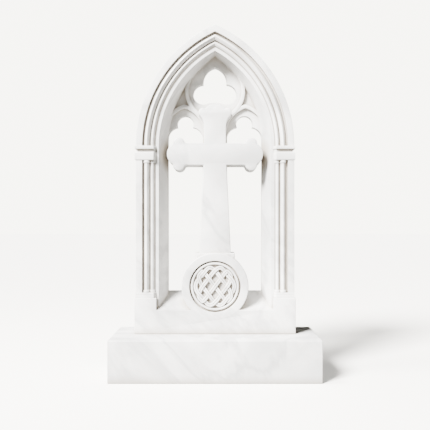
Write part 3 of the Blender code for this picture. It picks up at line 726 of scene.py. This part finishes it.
def makeRoundel(stone):
    r = roundel
    seatRadius = r["radius"] - r["rim"] / 2
    seat = slab("seat", [arc(0, roundelZ, seatRadius, 0, 2 * pi, r["steps"])[:-1]],
                -cutPast, r["recess"] + overlap)
    carve(stone, seat, "DIFFERENCE")
    recess = r["radius"] - r["rim"]
    borderOuter = recess - r["borderClearance"]
    borderInner = borderOuter - r["borderWidth"]
    borderMiddle = (borderOuter + borderInner) / 2
    floor = -r["recess"]
    profile = [(0.0, floor), (borderInner, floor)]
    profile += arc(borderMiddle, floor + r["borderHeight"] - r["borderWidth"] / 2,
                   r["borderWidth"] / 2, pi, 0, r["borderSteps"])
    profile += [(borderOuter, floor), (recess, floor)]
    edge = r["arris"]
    profile += arc(recess + edge / 2, -edge / 2, edge / 2, pi, pi / 2, r["innerEdgeSteps"])
    profile += arc(r["radius"] - edge, -edge, edge, pi / 2, 0, r["outerEdgeSteps"])
    profile += [(r["radius"], -r["thickness"]), (0.0, -r["thickness"])]
    mesh = bpy.data.meshes.new("roundel")
    edges = [(index, index + 1) for index in range(len(profile) - 1)]
    mesh.from_pydata([(radius, 0.0, height) for radius, height in profile], edges, [])
    disc = newShape("roundel", mesh)
    disc.matrix_world = (
        Matrix.Translation((0.0, faceY - r["proud"], roundelZ)) @ facings["front"]
    )
    turned = disc.modifiers.new("turned", "SCREW")
    turned.steps = r["steps"]
    turned.render_steps = r["steps"]
    turned.use_merge_vertices = True
    turned.merge_threshold = turnedWeld
    carve(stone, disc, "UNION")
    return borderInner


# Knot: one endless band of two strands, over and under itself on a lattice in a circle
knot = {
    "columns": 4, "rows": 3, "turn": 0.85, "strandWidth": 0.0071, "slot": 0.0001,
    "thickness": 0.0100, "over": 0.0085, "under": 0.0032, "clearance": 0.0012,
    "corners": 0.55, "sides": 16, "stepsPerCrossing": 12,
    "rowShift": 0.5, "lookAhead": 0.02, "atMiddle": 1e-9,
}


def knotPlace(number, radius):
    half = number / 2

    def swing(angle):
        return asin(knot["turn"] * cos(angle)) / asin(knot["turn"])

    across = swing(pi * half / knot["columns"])
    up = swing(pi * (half - knot["rowShift"]) / knot["rows"])
    square = across**2 + up**2
    fit = 1.0 if square < knot["atMiddle"] else sqrt(1 - (across * up) ** 2 / square)
    return Vector((radius * across * fit, radius * up * fit))


# 1 where the band passes over itself, -1 where it passes under, 0 where it turns
def knotLevel(number):
    columns, rows = knot["columns"], knot["rows"]
    if number % (2 * columns) == 0 or (number - 1) % (2 * rows) == 0:
        return 0
    column = number % (4 * columns)
    column = min(column, 4 * columns - column)
    half = number / 2
    rising = sin(pi * half / columns) * sin(pi * (half - knot["rowShift"]) / rows) > 0
    return (1 if rising else -1) * (-1) ** column


def knotHeight(number):
    low = int(number // 1)
    share = (1 - cos(pi * (number - low))) / 2
    count = 4 * knot["columns"] * knot["rows"]
    level = knotLevel(low % count) * (1 - share) + knotLevel((low + 1) % count) * share
    middle = (knot["over"] + knot["under"]) / 2
    return middle + level * (knot["over"] - knot["under"]) / 2


def makeKnot(fieldRadius):
    k = knot
    aside = (k["strandWidth"] + k["slot"]) / 2
    radius = fieldRadius - k["clearance"] - aside - k["strandWidth"] / 2
    count = 4 * k["columns"] * k["rows"]
    total = count * k["stepsPerCrossing"]
    strands = []
    for side in (-1, 1):
        points = []
        for step in range(total):
            number = step / k["stepsPerCrossing"]
            place = knotPlace(number, radius)
            following = knotPlace(number + k["lookAhead"], radius)
            ahead = following - knotPlace(number - k["lookAhead"], radius)
            normal = Vector((-ahead.y, ahead.x)).normalized()
            spot = place + normal * side * aside
            points.append((spot.x, spot.y, knotHeight(number)))
        sizes = {"Width": k["strandWidth"], "Thickness": k["thickness"],
                 "Corners": k["corners"], "Sides": k["sides"], "Stone": carvedMarble}
        strands.append(grow("strand", points, True, sizes))
    floorPlace = Matrix.Translation((0.0, faceY + roundel["recess"] - roundel["proud"], roundelZ))
    for strand in strands:
        strand.data.transform(floorPlace @ facings["front"])
    return strands


# The finished stone: one plain mesh, smooth on its curves and crisp on its arrises
def finishPiece(name, meshes, material):
    shape = bmesh.new()
    for mesh in meshes:
        shape.from_mesh(mesh)
    bmesh.ops.remove_doubles(shape, verts=shape.verts, dist=weldDistance)
    mesh = bpy.data.meshes.new(name)
    shape.to_mesh(mesh)
    shape.free()
    mesh.materials.clear()
    mesh.materials.append(material)
    for polygon in mesh.polygons:
        polygon.material_index = 0
    mesh.shade_smooth()
    mesh.set_sharp_from_angle(angle=sharpAngle)
    piece = bpy.data.objects.new(name, mesh)
    bpy.context.scene.collection.objects.link(piece)
    return piece


mouldingTree = makeMouldingTree()
stone = makeFrame()
makeTracery(stone)
makeRolls(stone)
makeCapitals(stone)
makePlinth(stone)
makeCross(stone)
fieldRadius = makeRoundel(stone)
print("carving laid out")
carvedStone = finishPiece("carvedStone", [plainMesh(stone)], carvedMarble)
strands = makeKnot(fieldRadius)
knotBand = finishPiece("knotBand", [strand.data for strand in strands], carvedMarble)
stoneFaces, knotFaces = len(carvedStone.data.polygons), len(knotBand.data.polygons)
print("stone carved:", stoneFaces, "faces; knot:", knotFaces)
baseBlock = finishPiece("baseBlock", [makeBlock()], baseMarble)
print("base block ready")

for shape in list(workshop.objects):
    bpy.data.objects.remove(shape, do_unlink=True)
bpy.data.collections.remove(workshop)

for piece, node, slot in (
    (carvedStone, "headstone", "carved_marble"),
    (knotBand, "headstone", "carved_marble"),
    (baseBlock, "base_block", "base_marble"),
):
    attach(piece, "root")
    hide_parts(node)

# Studio: a wide pale floor under an even sky, soft key from the upper left
studio = {
    "floor": (0.99, 0.97, 0.92), "floorGlow": 0.60, "floorBounce": (0.16, 0.155, 0.145),
    "floorReach": 40.0, "floorRoughness": 0.9, "floorShine": 0.1,
    "sky": (1.0, 0.975, 0.87), "skyStrength": 0.08, "skySeen": 7.7,
    "keyFrom": (-0.534, -0.593, 0.602), "keyPower": 36.0, "keySpread": 0.34,
    "keyColour": (1.0, 0.985, 0.955), "keyDistance": 4.0,
    "topPlace": (-1.1, -0.25, 2.6), "topAim": (0.0, 0.0, 0.6), "topSize": 0.7, "topPower": 150.0,
}


# The floor and the sky look pale but throw little light back, so the carving keeps its depth
def chooseByRay(tree, unseen, seen):
    rays = tree.nodes.new("ShaderNodeLightPath")
    choice = tree.nodes.new("ShaderNodeMixShader")
    tree.links.new(rays.outputs["Is Camera Ray"], choice.inputs["Fac"])
    tree.links.new(unseen, choice.inputs[1])
    tree.links.new(seen, choice.inputs[2])
    return choice.outputs["Shader"]


def makeFloor():
    reach = studio["floorReach"]
    mesh = bpy.data.meshes.new("floor")
    corners = [(-reach, -reach, 0), (reach, -reach, 0), (reach, reach, 0), (-reach, reach, 0)]
    mesh.from_pydata(corners, [], [(0, 1, 2, 3)])
    floor = bpy.data.objects.new("floor", mesh)
    bpy.context.scene.collection.objects.link(floor)
    material = bpy.data.materials.new("paleFloor")
    material.use_nodes = True
    tree = material.node_tree
    seen = tree.nodes["Principled BSDF"]
    seen.inputs["Base Color"].default_value = (*studio["floor"], 1)
    seen.inputs["Roughness"].default_value = studio["floorRoughness"]
    seen.inputs["Emission Color"].default_value = (*studio["floor"], 1)
    seen.inputs["Emission Strength"].default_value = studio["floorGlow"]
    seen.inputs["Specular IOR Level"].default_value = studio["floorShine"]
    unseen = tree.nodes.new("ShaderNodeBsdfDiffuse")
    unseen.inputs["Color"].default_value = (*studio["floorBounce"], 1)
    surface = chooseByRay(tree, unseen.outputs["BSDF"], seen.outputs["BSDF"])
    tree.links.new(surface, tree.nodes["Material Output"].inputs["Surface"])
    mesh.materials.append(material)


def addLamp(name, light, direction, place):
    light.color = studio["keyColour"]
    lamp = bpy.data.objects.new(name, light)
    lamp.location = place
    lamp.rotation_euler = Vector(direction).to_track_quat("-Z", "Y").to_euler()
    bpy.context.scene.collection.objects.link(lamp)


def makeLights():
    s = studio
    world = bpy.data.worlds.new("studio")
    bpy.context.scene.world = world
    world.use_nodes = True
    tree = world.node_tree
    seen = tree.nodes["Background"]
    unseen = tree.nodes.new("ShaderNodeBackground")
    for sky, strength in ((seen, "skySeen"), (unseen, "skyStrength")):
        sky.inputs["Color"].default_value = (*s["sky"], 1)
        sky.inputs["Strength"].default_value = s[strength]
    surface = chooseByRay(tree, unseen.outputs["Background"], seen.outputs["Background"])
    tree.links.new(surface, tree.nodes["World Output"].inputs["Surface"])
    key = bpy.data.lights.new("key", "SUN")
    key.energy = s["keyPower"]
    key.angle = s["keySpread"]
    keyFrom = Vector(s["keyFrom"])
    addLamp("key", key, -keyFrom, keyFrom * s["keyDistance"])
    top = bpy.data.lights.new("top", "AREA")
    top.shape = "DISK"
    top.size = s["topSize"]
    top.energy = s["topPower"]
    addLamp("top", top, Vector(s["topAim"]) - Vector(s["topPlace"]), s["topPlace"])


# Camera: level, square on, at the photograph's distance
view = {"place": (0.0, -2.3065, 0.5574), "focalPixels": 610.6, "framePixels": 430,
        "sensor": 36.0, "riseInPixels": 11.0}
camera = bpy.data.cameras.new("camera")
camera.sensor_width = view["sensor"]
camera.lens = view["focalPixels"] / view["framePixels"] * view["sensor"]
camera.shift_y = view["riseInPixels"] / view["framePixels"]
cameraObject = bpy.data.objects.new("camera", camera)
cameraObject.location = view["place"]
cameraObject.rotation_euler = (pi / 2, 0.0, 0.0)
bpy.context.scene.collection.objects.link(cameraObject)
bpy.context.scene.camera = cameraObject
makeFloor()
makeLights()
print("studio ready")
